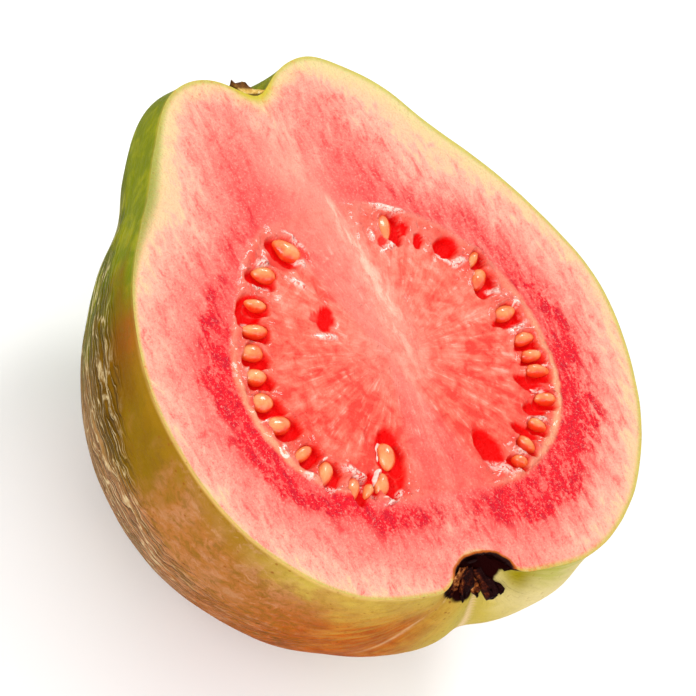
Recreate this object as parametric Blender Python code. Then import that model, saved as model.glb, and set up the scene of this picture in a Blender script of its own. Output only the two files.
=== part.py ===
# Half a pink guava, cut lengthwise through stem and calyx.
# It lies on the round of its skin, on a small flat spot, with the cut face level and up.
# Metres, +Z up. +Y runs towards the stem, +X across the cut face.

from math import cos, pi, radians, sin

import bmesh
import bpy
import numpy as np
from mathutils import Matrix, Vector

MM = 0.001

# ---------------------------------------------------------------- driving dimensions
# The skin is drawn as a radius from a centre on the fruit's axis, at angles from the stem end.
CENTRE_Y = -4.0 * MM
STATIONS_DEG = (0, 16, 30, 45, 65, 90, 120, 145, 165, 180)
RADII_RIGHT_MM = (46.5, 48.5, 47.2, 43.6, 43.4, 45.0, 44.8, 43.0, 38.6, 35.5)
RADII_LEFT_MM = (46.5, 48.0, 43.5, 40.2, 40.0, 41.0, 41.8, 41.0, 38.3, 35.5)
RADII_BACK_MM = (46.5, 49.0, 46.6, 45.2, 47.0, 48.0, 46.2, 43.8, 38.5, 35.5)

STEM_DIMPLE_DEPTH = 3.4 * MM
STEM_DIMPLE_SPREAD_DEG = 5.5
CRATER_DEPTH = 3.0 * MM
CRATER_SPREAD_DEG = 8.5

# Valleys between the lobes at the calyx end: azimuth about the axis, half width, depth.
VALLEYS = ((12, 8, 1.2 * MM), (66, 8, 1.8 * MM), (112, 9, 1.6 * MM))
VALLEY_REACH_DEG = 34
AXIS_CLEAR_DEG = 9                 # lobes, valleys and swellings fade out this near the axis

# Gentle swellings and hollows: the lobe right of the calyx, the shoulders and the neck under them.
# Each is azimuth, its spread, station, its spread (degrees), rise.
SWELLINGS = (
    (42, 20, 158, 16, 1.6 * MM), (140, 28, 22, 30, 1.8 * MM), (0, 40, 80, 15, 0.5 * MM),
    (0, 40, 36, 7, -0.9 * MM), (0, 50, 13, 7, 1.0 * MM), (144, 26, 38, 7, -1.5 * MM),
    (150, 24, 20, 7, 0.5 * MM), (82, 14, 148, 10, 0.9 * MM), (22, 12, 150, 9, 0.8 * MM),
)

FLAT_SPOT_LIFT = 1.3 * MM          # how much of the round is taken off to rest on

SKIN_SEGMENTS = 72
SKIN_RINGS = 44

SEED_THICKNESS = 2.3 * MM
SEED_SINK = 0.55 * MM              # seed centres lie this far under the cut face
SOCKET_GAP = 0.3 * MM

# Seeds: x, y on the cut face, heading of the pointed end, length, width (mm and degrees).
SEEDS = (
    (-6.7, 14.9, 130, 4.9, 2.9), (-12.7, 11.8, 152, 4.0, 2.5), (-18.7, 3.8, 163, 4.7, 2.0),
    (-20.9, 0.6, 165, 3.9, 2.7), (-22.1, -2.9, 165, 4.0, 2.4), (-23.1, -7.0, 168, 4.2, 2.8),
    (-22.1, -10.7, 177, 4.8, 2.6), (-20.4, -15.9, 197, 4.5, 2.0), (-18.2, -19.3, 225, 4.4, 2.6),
    (-14.6, -22.6, 234, 4.0, 2.4), (-12.2, -23.4, 228, 2.6, 1.4), (-9.3, -23.0, 240, 4.0, 2.5),
    (-6.4, -19.0, 252, 4.3, 2.8), (11.7, 15.3, 72, 4.6, 2.8), (24.2, 4.4, 34, 4.3, 2.6),
    (26.0, -1.5, 8, 4.7, 2.4), (27.3, -6.2, 2, 4.2, 2.0), (27.2, -8.9, -3, 4.2, 1.8),
    (27.0, -11.5, -14, 4.6, 1.8), (26.0, -16.0, -18, 3.8, 1.8), (22.3, -19.6, -40, 3.4, 1.6),
    (18.9, -22.0, -55, 3.4, 1.8), (16.4, -24.4, -40, 2.8, 1.7), (24.8, 7.6, 40, 3.2, 1.7),
    (-16.4, 7.6, 150, 3.6, 1.7),
)

# Empty wet pockets in the pulp: x, y, heading, length, width, depth (mm and degrees).
POCKETS = (
    (-18.0, 7.0, -10, 5.0, 3.6, 3.4), (-5.8, 3.4, -10, 3.2, 3.0, 1.8),
    (-5.6, -22.6, 68, 7.0, 2.8, 3.0), (14.9, 14.2, 50, 2.8, 1.5, 2.2),
    (16.9, 12.0, 50, 3.0, 1.6, 2.4), (20.8, 9.8, -20, 4.4, 4.0, 3.4),
    (23.4, -13.6, -18, 4.0, 2.6, 2.8), (22.0, -17.0, -24, 3.2, 2.0, 2.6),
    (19.2, -19.6, -46, 4.2, 1.9, 2.4), (11.8, -21.2, -77, 6.2, 3.7, 3.6),
)

# Sepals round the calyx: name, azimuth about the axis, length, width, tip lift (mm and degrees).
SEPALS = (
    ("sepal_left", 122, 3.8, 3.0, 0.6), ("sepal_middle", 88, 3.9, 2.0, 0.6),
    ("sepal_small", 64, 4.0, 1.6, 0.8), ("sepal_right", 38, 4.4, 2.2, 1.4),
)
SEPAL_ROOT_DEG = 5.0
SEPAL_CLEARANCE = 1.3 * MM
SEPAL_THICKNESS = 0.9 * MM

COLOURS = {
    "flesh": ((0.90, 0.16, 0.14, 1.0), 0.38),
    "stem_wood": ((0.17, 0.08, 0.03, 1.0), 0.75),
    "calyx_brown": ((0.10, 0.03, 0.02, 1.0), 0.7),
    "seed": ((0.93, 0.48, 0.22, 1.0), 0.3),
}


# ---------------------------------------------------------------- the fruit's form
def radius_along(radii_mm, station):
    """One meridian's radius at an angle from the stem end, smooth through its stations."""
    angles = np.radians(STATIONS_DEG)
    radii = np.array(radii_mm) * MM
    slopes = np.zeros(len(angles))
    slopes[1:-1] = (radii[2:] - radii[:-2]) / (angles[2:] - angles[:-2])
    i = int(np.clip(np.searchsorted(angles, station, side="right") - 1, 0, len(angles) - 2))
    span = angles[i + 1] - angles[i]
    u = (station - angles[i]) / span
    start = (2 * u**3 - 3 * u**2 + 1) * radii[i] + (u**3 - 2 * u**2 + u) * span * slopes[i]
    end = (3 * u**2 - 2 * u**3) * radii[i + 1] + (u**3 - u**2) * span * slopes[i + 1]
    return float(start + end)


def bell(value, spread, power=2):
    return float(np.exp(-(abs(value) / spread) ** power))


def skin_radius(station, azimuth):
    """Radius of the skin; azimuth is 0 on the right, 90 degrees at the back, 180 on the left."""
    side = RADII_RIGHT_MM if cos(azimuth) > 0 else RADII_LEFT_MM
    radius = radius_along(side, station) * cos(azimuth) ** 2
    radius += radius_along(RADII_BACK_MM, station) * sin(azimuth) ** 2
    from_stem = np.degrees(station)
    from_calyx = 180 - from_stem
    turn = np.degrees(azimuth)
    radius -= STEM_DIMPLE_DEPTH * bell(from_stem, STEM_DIMPLE_SPREAD_DEG)
    radius -= CRATER_DEPTH * bell(from_calyx, CRATER_SPREAD_DEG, 4)
    off_axis = (1 - bell(from_stem, AXIS_CLEAR_DEG)) * (1 - bell(from_calyx, AXIS_CLEAR_DEG))
    for swell_turn, turn_spread, swell_station, station_spread, rise in SWELLINGS:
        swell = bell(turn - swell_turn, turn_spread) * off_axis
        radius += rise * swell * bell(from_stem - swell_station, station_spread)
    reach = bell(from_calyx, VALLEY_REACH_DEG) * off_axis
    for valley_turn, half_width, depth in VALLEYS:
        radius -= depth * bell(turn - valley_turn, half_width) * reach
    return radius


def skin_point(station, azimuth, lift=0.0):
    reach = skin_radius(station, azimuth) + lift
    across = reach * sin(station)
    return Vector((across * cos(azimuth), CENTRE_Y + reach * cos(station), -across * sin(azimuth)))


# ---------------------------------------------------------------- helpers
def clear_scene():
    for item in list(bpy.data.objects):
        bpy.data.objects.remove(item, do_unlink=True)


def collection_named(name):
    made = bpy.data.collections.new(name)
    bpy.context.scene.collection.children.link(made)
    return made


def material_named(name):
    colour, roughness = COLOURS[name]
    made = bpy.data.materials.new(name)
    made.use_nodes = True
    shader = made.node_tree.nodes["Principled BSDF"]
    shader.inputs["Base Color"].default_value = colour
    shader.inputs["Roughness"].default_value = roughness
    shader.inputs["Metallic"].default_value = 0.0
    made.diffuse_color = colour
    return made


def object_from(bm, name, collection, material=None):
    bm.normal_update()
    if bm.calc_volume(signed=True) < 0:
        bmesh.ops.reverse_faces(bm, faces=bm.faces)
    mesh = bpy.data.meshes.new(name)
    bm.to_mesh(mesh)
    bm.free()
    made = bpy.data.objects.new(name, mesh)
    collection.objects.link(made)
    if material:
        mesh.materials.append(material)
        mesh.shade_smooth()
        mesh.set_sharp_from_angle(angle=radians(35))
    return made


def slice_level(bm, height, keep_below):
    """Cut flat at a height, drop one side and close the cut with one face."""
    geometry = bm.verts[:] + bm.edges[:] + bm.faces[:]
    bmesh.ops.bisect_plane(
        bm, geom=geometry, dist=1e-7, plane_co=(0, 0, height), plane_no=(0, 0, 1),
        clear_outer=keep_below, clear_inner=not keep_below)
    rim = [edge for edge in bm.edges if edge.is_boundary]
    bmesh.ops.contextual_create(bm, geom=rim)


def place_on_face(item, x_mm, y_mm, heading_deg, depth):
    item.location = (x_mm * MM, y_mm * MM, -depth)
    item.rotation_euler = (0, 0, radians(heading_deg))


# ---------------------------------------------------------------- the pieces
def make_half(parts, cutters):
    bm = bmesh.new()
    bmesh.ops.create_uvsphere(bm, u_segments=SKIN_SEGMENTS, v_segments=SKIN_RINGS, radius=1.0)
    bmesh.ops.rotate(bm, verts=bm.verts, matrix=Matrix.Rotation(-pi / 2, 3, "X"))
    lowest = 0.0
    for vert in bm.verts:
        station = np.arccos(np.clip(vert.co.y, -1, 1))
        station -= 0.28 * sin(2 * station)         # rings gather at the two ends
        azimuth = np.arctan2(abs(vert.co.z), vert.co.x)
        side = 1 if vert.co.z > 0 else -1
        vert.co = skin_point(station, azimuth)
        vert.co.z = side * abs(vert.co.z)
        lowest = min(lowest, vert.co.z)
    slice_level(bm, 0.0, keep_below=True)
    slice_level(bm, lowest + FLAT_SPOT_LIFT, keep_below=False)
    half = object_from(bm, "guava_half", parts, material_named("flesh"))

    sockets = [seed_blank(entry, SOCKET_GAP, SEED_SINK) for entry in SEEDS]
    hollows = [pocket_blank(entry) for entry in POCKETS]
    for number, blank in enumerate(sockets + hollows, 1):
        name = f"hollow_cutter_{number:02d}"
        cutter = object_from(blank, name, cutters)
        cutter.hide_render = True
        cutter.display_type = "WIRE"
        cut = half.modifiers.new(name, "BOOLEAN")
        cut.operation = "DIFFERENCE"
        cut.solver = "EXACT"
        cut.object = cutter
    return half


def seed_shape(length, width, thickness, segments, rings):
    """A seed lying along X, pointed at +X, blunt at -X."""
    bm = bmesh.new()
    bmesh.ops.create_uvsphere(bm, u_segments=segments, v_segments=rings, radius=1.0)
    bmesh.ops.rotate(bm, verts=bm.verts, matrix=Matrix.Rotation(pi / 2, 3, "Y"))
    for vert in bm.verts:
        taper = 1 - 0.22 * vert.co.x - 0.10 * vert.co.x**2
        vert.co.x *= length / 2
        vert.co.y *= width / 2 * taper
        vert.co.z *= thickness / 2 * taper
    return bm


def seed_blank(entry, gap, sink):
    x_mm, y_mm, heading, length, width = entry
    bm = seed_shape(length * MM + 2 * gap, width * MM + 2.4 * gap,
                    SEED_THICKNESS + 2.4 * gap, 10, 7)
    turn = Matrix.Rotation(radians(heading), 4, "Z")
    bm.transform(Matrix.Translation((x_mm * MM, y_mm * MM, -sink)) @ turn)
    return bm


def pocket_blank(entry):
    x_mm, y_mm, heading, length, width, depth = entry
    bm = bmesh.new()
    bmesh.ops.create_uvsphere(bm, u_segments=10, v_segments=6, radius=1.0)
    size = Vector((length / 2 * MM, width / 2 * MM, depth * MM))
    bmesh.ops.scale(bm, vec=size, verts=bm.verts)
    turn = Matrix.Rotation(radians(heading), 4, "Z")
    bm.transform(Matrix.Translation((x_mm * MM, y_mm * MM, 0.1 * MM)) @ turn)
    return bm


def make_seeds(parts):
    material = material_named("seed")
    seeds = []
    for number, entry in enumerate(SEEDS, 1):
        x_mm, y_mm, heading, length, width = entry
        bm = seed_shape(length * MM, width * MM, SEED_THICKNESS, 8, 6)
        seed = object_from(bm, f"seed_{number:02d}", parts, material)
        place_on_face(seed, x_mm, y_mm, heading, SEED_SINK)
        seeds.append(seed)
    return seeds


def make_stem_stub(parts):
    """The dry stub of the stalk, halved by the same cut, in the dimple at the stem end."""
    bm = bmesh.new()
    bmesh.ops.create_cone(bm, cap_ends=True, segments=14, radius1=1.3 * MM, radius2=1.7 * MM,
                          depth=2.2 * MM)
    bmesh.ops.rotate(bm, verts=bm.verts, matrix=Matrix.Rotation(-pi / 2, 3, "X"))
    floor = CENTRE_Y + skin_radius(0, 0)
    bmesh.ops.translate(bm, verts=bm.verts, vec=(-0.7 * MM, floor + 1.9 * MM, 0))
    slice_level(bm, -0.1 * MM, keep_below=True)
    return object_from(bm, "stem_stub", parts, material_named("stem_wood"))


def make_calyx(parts):
    """The dry disc in the crater and the sepals that curl out over its rim."""
    material = material_named("calyx_brown")
    floor = CENTRE_Y - skin_radius(pi, 0)
    bm = bmesh.new()
    bmesh.ops.create_cone(bm, cap_ends=True, segments=18, radius1=2.2 * MM, radius2=2.0 * MM,
                          depth=0.9 * MM)
    bmesh.ops.rotate(bm, verts=bm.verts, matrix=Matrix.Rotation(-pi / 2, 3, "X"))
    bmesh.ops.translate(bm, verts=bm.verts, vec=(0.4 * MM, floor - 1.3 * MM, 0))
    slice_level(bm, -0.2 * MM, keep_below=True)
    pieces = [object_from(bm, "calyx_disc", parts, material)]
    for name, azimuth_deg, length, width, lift in SEPALS:
        pieces.append(make_sepal(name, azimuth_deg, length * MM, width * MM, lift * MM, parts, material))
    return pieces


def make_sepal(name, azimuth_deg, length, width, curl, parts, material):
    """A dry leaf that climbs out of the crater along its wall and lifts off the skin."""
    azimuth = radians(azimuth_deg)
    outward = Vector((cos(azimuth), 0, -sin(azimuth)))
    across = outward.cross(Vector((0, -1, 0)))
    turn = length / RADII_BACK_MM[-1] / MM
    bm = bmesh.new()
    bmesh.ops.create_uvsphere(bm, u_segments=10, v_segments=10, radius=1.0)
    for vert in bm.verts:
        u = (vert.co.z + 1) / 2
        station = pi - radians(SEPAL_ROOT_DEG) - turn * u
        lift = SEPAL_CLEARANCE + curl * u**2 + vert.co.y * SEPAL_THICKNESS / 2
        side = vert.co.x * width / 2 * (1.15 - 0.4 * u)
        vert.co = skin_point(station, azimuth, lift) + across * side
    return object_from(bm, name, parts, material)


def stand_on_origin(pieces):
    """Shift everything so that the origin is under the middle of the box, at the base."""
    bpy.context.view_layer.update()
    depsgraph = bpy.context.evaluated_depsgraph_get()
    corners = []
    for piece in pieces:
        shape = piece.evaluated_get(depsgraph)
        corners += [shape.matrix_world @ Vector(corner) for corner in shape.bound_box]
    low = Vector([min(c[i] for c in corners) for i in range(3)])
    high = Vector([max(c[i] for c in corners) for i in range(3)])
    frame = bpy.data.objects.new("guava_frame", None)
    pieces[0].users_collection[0].objects.link(frame)
    frame.location = (-(low.x + high.x) / 2, -(low.y + high.y) / 2, -low.z)
    return frame


def main():
    clear_scene()
    parts = collection_named("guava")
    cutters = collection_named("guava_cutters")
    pieces = [make_half(parts, cutters), make_stem_stub(parts)]
    pieces += make_calyx(parts) + make_seeds(parts)
    frame = stand_on_origin(pieces)
    for item in pieces + list(cutters.objects):
        item.parent = frame


main()
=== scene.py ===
from math import cos, pi, radians, sin

import bmesh
import bpy
import numpy as np
from mathutils import Matrix, Vector, noise


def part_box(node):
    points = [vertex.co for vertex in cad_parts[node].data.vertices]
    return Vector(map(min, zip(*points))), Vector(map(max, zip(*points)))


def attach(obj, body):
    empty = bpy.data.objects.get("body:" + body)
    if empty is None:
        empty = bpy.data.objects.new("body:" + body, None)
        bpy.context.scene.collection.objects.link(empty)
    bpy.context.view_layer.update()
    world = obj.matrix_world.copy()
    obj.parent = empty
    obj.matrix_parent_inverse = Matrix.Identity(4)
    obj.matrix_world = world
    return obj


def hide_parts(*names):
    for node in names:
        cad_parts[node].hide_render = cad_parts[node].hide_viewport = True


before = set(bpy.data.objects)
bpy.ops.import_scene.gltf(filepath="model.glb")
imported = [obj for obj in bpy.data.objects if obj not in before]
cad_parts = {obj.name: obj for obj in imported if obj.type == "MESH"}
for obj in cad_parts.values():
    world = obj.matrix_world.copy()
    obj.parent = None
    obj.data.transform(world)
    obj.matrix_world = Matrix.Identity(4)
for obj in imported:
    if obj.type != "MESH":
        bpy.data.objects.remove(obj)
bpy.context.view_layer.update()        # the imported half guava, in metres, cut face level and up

mm = 0.001

# the fruit's form, in mm and degrees: radii from a centre on its axis, at angles from the stem
fruit = {
    "centreY": -4.0,
    "stations": (0, 16, 30, 45, 65, 90, 120, 145, 165, 180),
    "right": (46.5, 48.5, 47.2, 43.6, 43.4, 45.0, 44.8, 43.0, 38.6, 35.5),
    "left": (46.5, 48.0, 43.5, 40.2, 40.0, 41.0, 41.8, 41.0, 38.3, 35.5),
    "back": (46.5, 49.0, 46.6, 45.2, 47.0, 48.0, 46.2, 43.8, 38.5, 35.5),
    "stemDimple": (3.4, 5.5),
    "crater": (3.0, 8.5),
    "valleys": ((12, 8, 1.2), (66, 7, 2.0), (112, 8, 1.7)),
    "valleyReach": 34,
    "swellings": (
        (42, 20, 158, 16, 1.6), (140, 28, 22, 30, 1.8), (0, 40, 80, 15, 0.5),
        (0, 40, 36, 7, -0.9), (0, 50, 13, 7, 1.0), (144, 26, 38, 7, -1.5),
        (150, 24, 20, 7, 0.5), (82, 14, 148, 10, 0.9), (22, 12, 150, 9, 0.8),
    ),
    "axisClear": 9,
}

# the seed cavity's outer wall on the cut face: radius every 30 degrees about its own centre
fleshCentre = (3.0, -4.0)        # where the pulp's fibres start
cavity = {
    "centre": (1.5, -4.5),
    "radii": (28.3, 27.2, 25.5, 24.6, 25.5, 24.9, 27.5, 27.5, 24.0, 22.3, 25.4, 28.6),
    "gaps": ((96, 20), (272, 20)),       # no cavity near the core's two ends
}

bodyMesh = {
    "segments": 520,
    "rings": 190,
    "faceRings": 128,
    "ringShares": ((0, 12, 32, 98, 122, 126, 128), (0, 0.20, 0.42, 0.74, 0.97, 0.996, 1.0)),
    "lump": 0.35,
    "ripple": 0.10,
}

# wet hollows in the pulp: x, y, heading, length, width, depth
hollows = (
    (-14.8, 11.2, -30, 4.0, 2.2, 1.6), (-18.6, 6.6, 40, 6.4, 4.4, 2.8),
    (-22.2, -4.7, -4, 3.8, 1.3, 1.3), (-21.9, -9.1, -12, 2.6, 1.2, 1.2),
    (-22.0, -12.9, -10, 3.6, 1.6, 1.5), (-19.5, -17.3, 25, 3.6, 1.4, 1.5),
    (-16.4, -19.6, 60, 2.8, 1.3, 1.4), (-11.2, -22.4, 75, 3.0, 1.7, 1.5),
    (-6.2, -19.6, 75, 10.4, 4.8, 2.6), (-6.2, 3.1, 55, 4.6, 2.8, 1.2),
    (14.9, 14.3, 60, 2.3, 1.4, 1.3), (16.3, 12.0, 50, 2.9, 1.6, 1.5),
    (20.7, 10.1, 12, 5.0, 3.5, 2.8), (25.1, 3.0, 32, 3.2, 1.6, 1.4),
    (25.0, -3.1, 4, 5.4, 1.5, 1.5), (26.0, -7.6, 3, 4.0, 0.9, 1.2),
    (25.6, -10.1, 2, 4.0, 0.9, 1.2), (24.2, -13.6, -40, 6.2, 2.5, 2.0),
    (22.7, -17.3, -22, 4.0, 2.3, 1.9), (19.1, -20.3, -46, 4.8, 2.0, 1.8),
    (11.5, -21.4, -75, 7.0, 4.4, 2.8), (9.2, 3.8, -30, 1.2, 1.0, 0.3),
    (9.9, 12.9, 70, 2.0, 1.4, 1.0), (20.0, 5.2, -60, 1.4, 0.9, 0.5),
    (-5.0, 14.4, -78, 4.6, 1.5, 0.8), (-5.0, 7.4, -88, 5.0, 1.5, 0.35), (-9.7, 13.0, -40, 4.4, 2.0, 0.7),
    (-16.2, 7.8, -40, 2.4, 1.4, 1.0), (-7.5, 3.7, 10, 3.0, 1.7, 0.8), (-7.7, -15.6, 50, 3.6, 2.6, 0.5),
)

# wet membranes, raised, coated and painted pale, partly their own colour and partly painted highlights: x,
# y, heading, length, width
gleams = (
    (-12.6, 13.3, 20, 3.0, 1.5), (-14.6, 10.0, -14, 4.8, 1.0), (-19.8, 4.9, 20, 1.8, 0.8),
    (-22.4, -2.4, -10, 3.2, 1.0), (-22.8, -9.9, 5, 4.6, 0.7), (-23.2, -15.0, 80, 2.2, 1.0),
    (-21.3, -19.4, -30, 2.0, 1.4), (-18.3, -21.8, -4, 3.2, 1.3), (-13.4, -20.6, -50, 4.2, 1.8),
    (-12.2, -23.6, -55, 2.8, 1.1), (-9.4, -26.0, 10, 2.8, 0.8), (-7.2, -25.0, 50, 1.6, 0.7),
    (-5.4, 16.0, -55, 4.0, 0.9), (-6.0, 12.2, -60, 1.8, 1.0), (-8.2, 9.2, -45, 3.0, 1.3),
    (-7.4, 0.3, -12, 4.0, 1.2), (13.2, 17.9, -24, 5.6, 1.3), (10.6, 12.0, 16, 3.8, 1.1),
    (8.7, 14.4, 80, 2.4, 0.9), (19.2, 8.2, -50, 3.0, 0.9), (21.4, 7.4, 14, 3.4, 1.3),
    (25.8, 2.0, -20, 1.8, 1.3), (26.7, -4.3, 12, 4.4, 1.1), (28.4, -0.6, 60, 2.2, 0.7),
    (25.4, -14.5, -10, 1.8, 0.8), (22.4, -19.0, -18, 3.6, 0.7), (17.2, -23.0, -8, 3.4, 1.6),
    (11.9, -24.4, -35, 4.4, 2.3), (14.8, -25.8, 30, 3.0, 0.9), (27.8, -11.0, -20, 2.0, 0.8),
)

# painted highlight arcs along wet edges, each on a slight raised line: x, y, heading, length, width of an
# oval, and its part in degrees
paintedGlintArcs = (
    (-6.9, -19.2, 80, 4.4, 2.6, -50, 125), (-9.7, -23.0, 80, 3.8, 2.1, -70, 110),
    (-9.8, -24.5, 0, 2.4, 1.6, 195, 330), (-13.4, -23.1, 100, 3.0, 1.6, -90, 70),
    (-23.6, -14.9, 75, 2.2, 1.3, 50, 230), (-22.9, -10.4, 3, 5.0, 1.2, 40, 150),
    (-17.6, -18.4, 20, 3.2, 1.6, 20, 120),
    (22.4, -18.6, -14, 4.0, 1.0, 190, 350), (26.6, -11.4, -14, 3.2, 1.0, 20, 130),
    (25.4, -14.0, -20, 1.8, 1.0, 180, 330), (19.8, 8.6, -50, 3.2, 1.4, 100, 200),
    (24.6, 4.6, 32, 4.6, 2.4, 60, 170), (28.0, -1.6, 80, 2.4, 1.2, -60, 60),
    (12.4, 17.6, -26, 5.4, 1.6, 20, 150), (-14.4, 10.6, -16, 4.8, 1.6, 190, 350),
    (-12.8, 12.6, 20, 3.4, 1.8, 40, 160), (-19.6, 5.0, 12, 2.2, 1.0, 180, 340),
)


def blendStep(low, high, value):
    t = np.clip((value - low) / (high - low), 0, 1)
    return t * t * (3 - 2 * t)


def bell(value, spread, power=2):
    return np.exp(-(np.abs(value) / spread) ** power)


def noiseOf(x, y, z):        # smooth noise from -1 to 1 at one place
    return noise.noise(Vector((x, y, z)))


def noiseAt(points, scale, shift):        # the same at many places
    moved = points * scale + np.array((shift, shift * 1.7, shift * 0.6))
    return np.array([noise.noise(p) for p in moved.tolist()])


def meridian(radii, station):        # one meridian's radius, smooth through its stations
    angles = np.radians(fruit["stations"])
    radii = np.array(radii, float)
    slopes = np.zeros(len(angles))
    slopes[1:-1] = (radii[2:] - radii[:-2]) / (angles[2:] - angles[:-2])
    i = np.clip(np.searchsorted(angles, station, side="right") - 1, 0, len(angles) - 2)
    span = angles[i + 1] - angles[i]
    u = (station - angles[i]) / span
    first = (2 * u**3 - 3 * u**2 + 1) * radii[i] + (u**3 - 2 * u**2 + u) * span * slopes[i]
    return first + (3 * u**2 - 2 * u**3) * radii[i + 1] + (u**3 - u**2) * span * slopes[i + 1]


def skinRadius(station, azimuth):
    side = np.where(np.cos(azimuth) > 0, meridian(fruit["right"], station),
                    meridian(fruit["left"], station))
    radius = side * np.cos(azimuth) ** 2 + meridian(fruit["back"], station) * np.sin(azimuth) ** 2
    fromStem = np.degrees(station)
    fromCalyx = 180 - fromStem
    turn = np.degrees(azimuth)
    depth, spread = fruit["stemDimple"]
    radius = radius - depth * bell(fromStem, spread)
    depth, spread = fruit["crater"]
    radius = radius - depth * bell(fromCalyx, spread, 4)
    clear = (1 - bell(fromStem, fruit["axisClear"])) * (1 - bell(fromCalyx, fruit["axisClear"]))
    for at, wide, stationAt, long, rise in fruit["swellings"]:
        radius = radius + rise * bell(turn - at, wide) * bell(fromStem - stationAt, long) * clear
    for at, wide, depth in fruit["valleys"]:
        reach = bell(fromCalyx, fruit["valleyReach"]) * clear
        radius = radius - depth * bell(turn - at, wide) * reach
    return radius


def skinPoints(station, azimuth, lift=0.0):
    reach = skinRadius(station, azimuth) + lift
    across = reach * np.sin(station)
    y = fruit["centreY"] + reach * np.cos(station)
    return np.stack([across * np.cos(azimuth), y, -across * np.sin(azimuth)], -1)


# the fruit's own millimetres to the frame's metres: the CAD half's box gives the shift
halfLow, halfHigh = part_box("guava_half")
rim = skinPoints(np.linspace(0, pi, 361), np.linspace(0, pi, 121)[:, None]).reshape(-1, 3)
cutHeight = halfHigh.z
axisPoint = np.array([halfLow.x - rim[:, 0].min() * mm, halfLow.y - rim[:, 1].min() * mm, cutHeight])


def toFrame(points):
    return points * mm + axisPoint


def fromFrame(points):
    return (points - axisPoint) / mm


print("fruit axis at the cut, in mm:", (axisPoint / mm).round(2))


# a node tree, with short ways to add what these finishes need
class Shader:

    def __init__(self, tree):
        self.tree = tree

    def add(self, kind, **settings):
        node = self.tree.nodes.new(kind)
        for key, value in settings.items():
            setattr(node, key, value)
        return node

    def put(self, socket, value):
        if isinstance(value, bpy.types.NodeSocket):
            self.tree.links.new(value, socket)
        else:
            socket.default_value = value

    def fill(self, node, output=0, **values):        # values for a node's sockets, by name
        for name, value in values.items():
            self.put(node.inputs[name], value)
        return node.outputs[output]

    def line(self, node, values, output=0):        # values for a node's first sockets, in order
        for socket, value in zip(node.inputs, values):
            self.put(socket, value)
        return node.outputs[output]

    def maths(self, operation, *values):
        return self.line(self.add("ShaderNodeMath", operation=operation), values)

    def vector(self, operation, *values):
        output = "Value" if operation == "LENGTH" else "Vector"
        return self.line(self.add("ShaderNodeVectorMath", operation=operation), values, output)

    def times(self, first, *others):
        for other in others:
            first = self.maths("MULTIPLY", first, other)
        return first

    def scaleAdd(self, value, scale, added):
        return self.maths("MULTIPLY_ADD", value, scale, added)

    def weigh(self, first, share, second, otherShare):
        return self.scaleAdd(first, share, self.times(second, otherShare))

    def sway(self, pattern, amount, value):        # moves a value both ways with a noise
        return self.scaleAdd(self.maths("SUBTRACT", pattern, 0.5), amount, value)

    def remap(self, value, low, high, toLow=0, toHigh=1):
        node = self.add("ShaderNodeMapRange", interpolation_type="SMOOTHSTEP")
        return self.line(node, (value, low, high, toLow, toHigh))

    def mix(self, factor, first, second, blend="MIX"):
        node = self.add("ShaderNodeMix", data_type="RGBA", blend_type=blend)
        self.put(node.inputs[0], factor)
        for socket, colour in ((node.inputs[6], first), (node.inputs[7], second)):
            self.put(socket, (*colour, 1) if isinstance(colour, tuple) else colour)
        return node.outputs[2]

    def ramp(self, value, stops):
        node = self.add("ShaderNodeValToRGB")
        band = node.color_ramp
        while len(band.elements) < len(stops):
            band.elements.new(0.5)
        for element, (place, colour) in zip(band.elements, stops):
            element.position = place
            element.color = (*colour, 1)
        return self.line(node, (value,))

    def noise(self, vector, scale, detail=3, roughness=0.5, distortion=0, output="Fac"):
        return self.fill(self.add("ShaderNodeTexNoise"), output, Vector=vector, Scale=scale,
                         Detail=detail, Roughness=roughness, Distortion=distortion)

    def cells(self, vector, scale, feature="F1"):
        node = self.add("ShaderNodeTexVoronoi", feature=feature)
        return self.fill(node, "Distance", Vector=vector, Scale=scale)

    def attribute(self, name, output="Fac"):
        return self.add("ShaderNodeAttribute", attribute_name=name).outputs[output]

    # object coordinates in mm, measured from a centre given in metres
    def place(self, centre=(0, 0, 0)):
        coords = self.add("ShaderNodeTexCoord").outputs["Object"]
        return self.fill(self.add("ShaderNodeMapping"), Vector=coords,
                         Location=[-c / mm for c in centre], Scale=[1 / mm] * 3)

    def group(self, tree, **values):
        return self.fill(self.add("ShaderNodeGroup", node_tree=tree), **values)

    def bump(self, height, strength, distance, **under):
        return self.fill(self.add("ShaderNodeBump"), Height=height, Strength=strength,
                         Distance=distance, **under)


def newMaterial(name, roughness, **sockets):
    material = bpy.data.materials.new(name)
    material.use_nodes = True
    inputs = material.node_tree.nodes["Principled BSDF"].inputs
    inputs["Roughness"].default_value = roughness
    for socket, value in sockets.items():
        inputs[socket.replace("_", " ")].default_value = value
    return material, Shader(material.node_tree), inputs


def newGroup(name, output, **floats):
    tree = bpy.data.node_groups.new(name, "ShaderNodeTree")
    tree.interface.new_socket(name="Vector", in_out="INPUT", socket_type="NodeSocketVector")
    for socket, value in floats.items():
        made = tree.interface.new_socket(name=socket, in_out="INPUT", socket_type="NodeSocketFloat")
        made.default_value = value
    tree.interface.new_socket(name=output, in_out="OUTPUT", socket_type="NodeSocketFloat")
    shader = Shader(tree)
    source = shader.add("NodeGroupInput").outputs
    return tree, shader, source, shader.add("NodeGroupOutput").inputs[output]


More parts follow.
